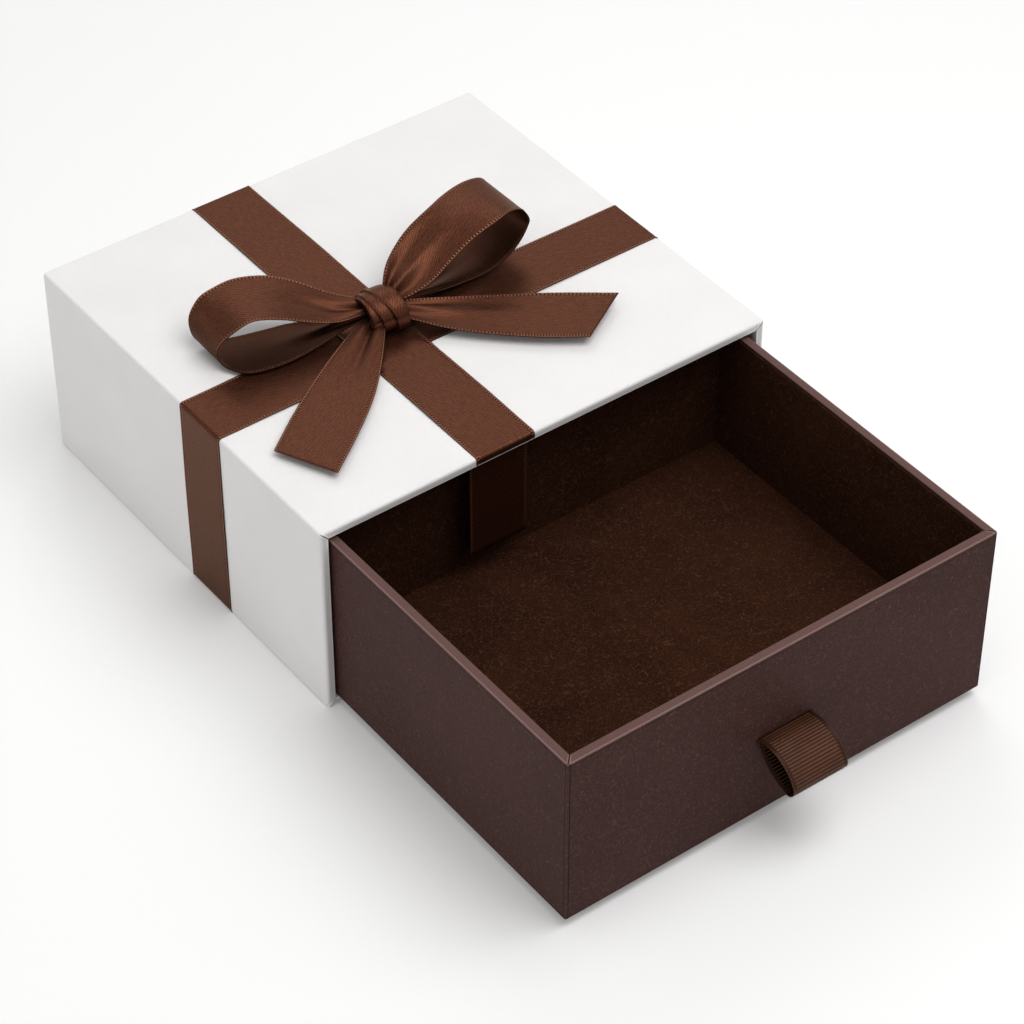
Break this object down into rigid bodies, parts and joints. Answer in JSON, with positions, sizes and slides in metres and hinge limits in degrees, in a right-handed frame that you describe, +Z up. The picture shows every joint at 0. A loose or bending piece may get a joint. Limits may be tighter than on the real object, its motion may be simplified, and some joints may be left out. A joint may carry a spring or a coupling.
{
  "type": "sliding drawer gift box",
  "caption": "Paper-wrapped board sleeve tied with a ribbon and bow, holding a sliding suede-lined drawer with a raised floor and a ribbon loop to pull it out.",
  "frame": {"origin": "on the table, under the middle of the box's footprint with the drawer pulled out as at rest", "axes": "+X across the mouth to the right as seen from the drawer front, +Y from the mouth to the back, +Z up"},
  "size_m": [0.357, 0.6062, 0.2003],
  "materials": {
    "greyboard": "matt",
    "white_paper": "finely embossed, matt",
    "plum_paper": "leather-grained, satin",
    "suede_paper": "flocked suede",
    "satin_ribbon": "satin weave, soft sheen",
    "grosgrain_ribbon": "ribbed grosgrain"
  },
  "bodies": {
    "sleeve": {"sleeve_left_board": "greyboard", "sleeve_right_board": "greyboard", "sleeve_back_board": "greyboard", "sleeve_base_board": "greyboard", "sleeve_top_board": "greyboard", "sleeve_wrap": "white_paper", "sleeve_lining": "white_paper", "drawer_stop": "greyboard", "ribbon_lengthwise": "satin_ribbon", "ribbon_crosswise": "satin_ribbon", "bow_knot": "satin_ribbon", "bow_loop_left": "satin_ribbon", "bow_loop_right": "satin_ribbon", "bow_tail_front": "satin_ribbon", "bow_tail_right": "satin_ribbon"},
    "drawer": {"drawer_left_board": "greyboard", "drawer_right_board": "greyboard", "drawer_front_board": "greyboard", "drawer_back_board": "greyboard", "drawer_base_board": "greyboard", "drawer_wrap": "plum_paper", "lining_front": "suede_paper", "lining_back": "suede_paper", "lining_left": "suede_paper", "lining_right": "suede_paper", "platform_board": "greyboard", "platform_suede": "suede_paper", "pull_tab": "grosgrain_ribbon"}
  },
  "joints": [
    {"name": "drawer_slide", "type": "slide", "parent": "sleeve", "child": "drawer", "axis": [0, -1, 0], "range_m": [-0.24, 0.0134]}
  ]
}
